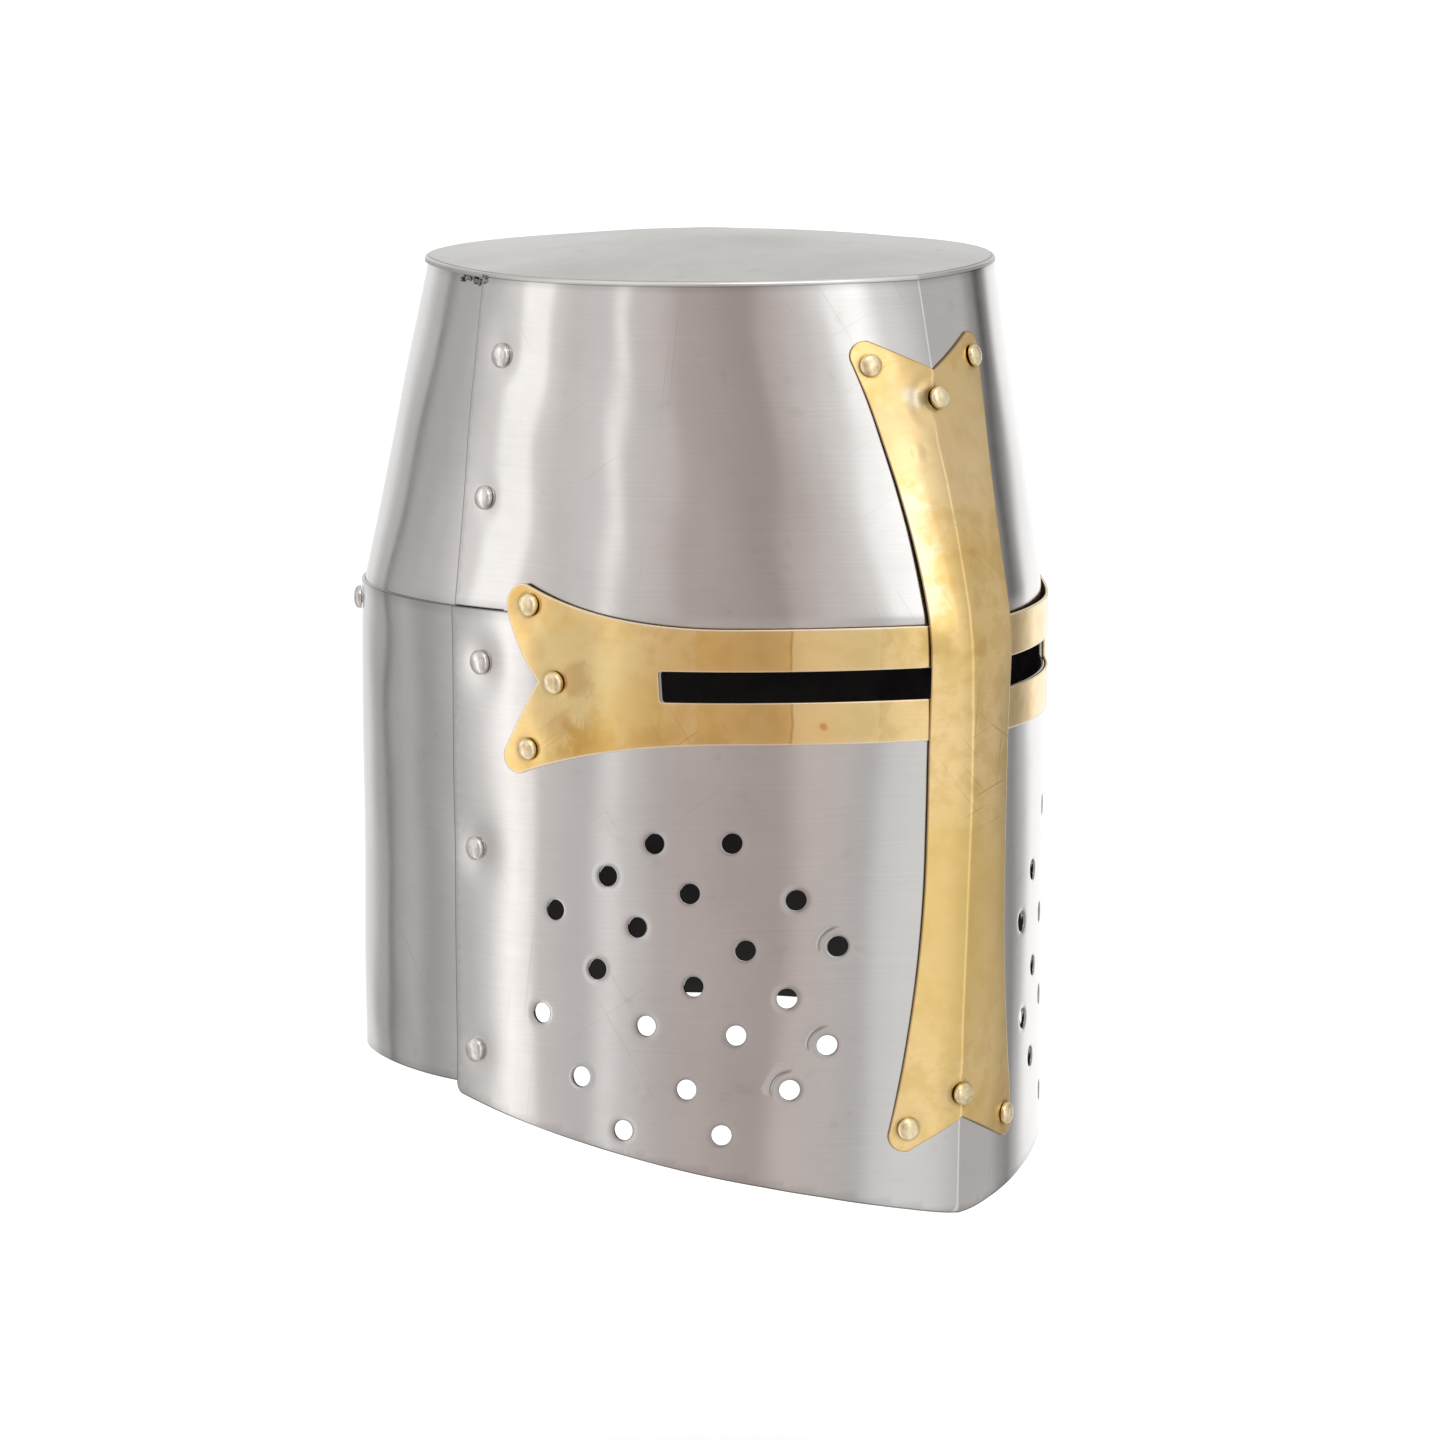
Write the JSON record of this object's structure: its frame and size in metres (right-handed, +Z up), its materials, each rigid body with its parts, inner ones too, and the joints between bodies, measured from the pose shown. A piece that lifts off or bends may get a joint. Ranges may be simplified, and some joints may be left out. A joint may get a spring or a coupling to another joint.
{
  "type": "great helm",
  "caption": "Flat-topped closed helm of riveted steel plates with a brass cross, narrow sights, breath holes and a leather liner.",
  "frame": {"origin": "bottom centre of the whole helm, under the middle of its length, level with the point of the face plate", "axes": "+Z up with the crown level as worn, -Y the way the face looks, +X the wearer's left"},
  "size_m": [0.2152, 0.293, 0.323],
  "materials": {
    "steel": "satin brushed sheet with hammer and grinding marks",
    "brass": "satin sheet with light tarnish",
    "rivet_steel": "polished domed heads",
    "rivet_brass": "polished domed heads",
    "liner_leather": "vegetable-tanned, waxed",
    "lace": "round cut lace"
  },
  "bodies": {
    "root": {"crown_plate": "steel", "upper_front_plate": "steel", "upper_back_plate": "steel", "lower_front_plate": "steel", "lower_back_plate": "steel", "cross_bar": "brass", "cross_upright": "brass", "upper_seam_rivets_right": "rivet_steel", "upper_seam_rivets_left": "rivet_steel", "lower_seam_rivets_right": "rivet_steel", "lower_seam_rivets_left": "rivet_steel", "back_rivets": "rivet_steel", "cross_bar_rivets_right": "rivet_brass", "cross_bar_rivets_left": "rivet_brass", "cross_top_rivets": "rivet_brass", "cross_foot_rivets": "rivet_brass", "liner_band": "liner_leather", "liner_washers": "rivet_steel", "liner_tongue_1": "liner_leather", "liner_tongue_2": "liner_leather", "liner_tongue_3": "liner_leather", "liner_tongue_4": "liner_leather", "liner_tongue_5": "liner_leather", "liner_tongue_6": "liner_leather", "liner_tongue_7": "liner_leather", "liner_tongue_8": "liner_leather", "liner_lace": "lace"}
  },
  "joints": []
}
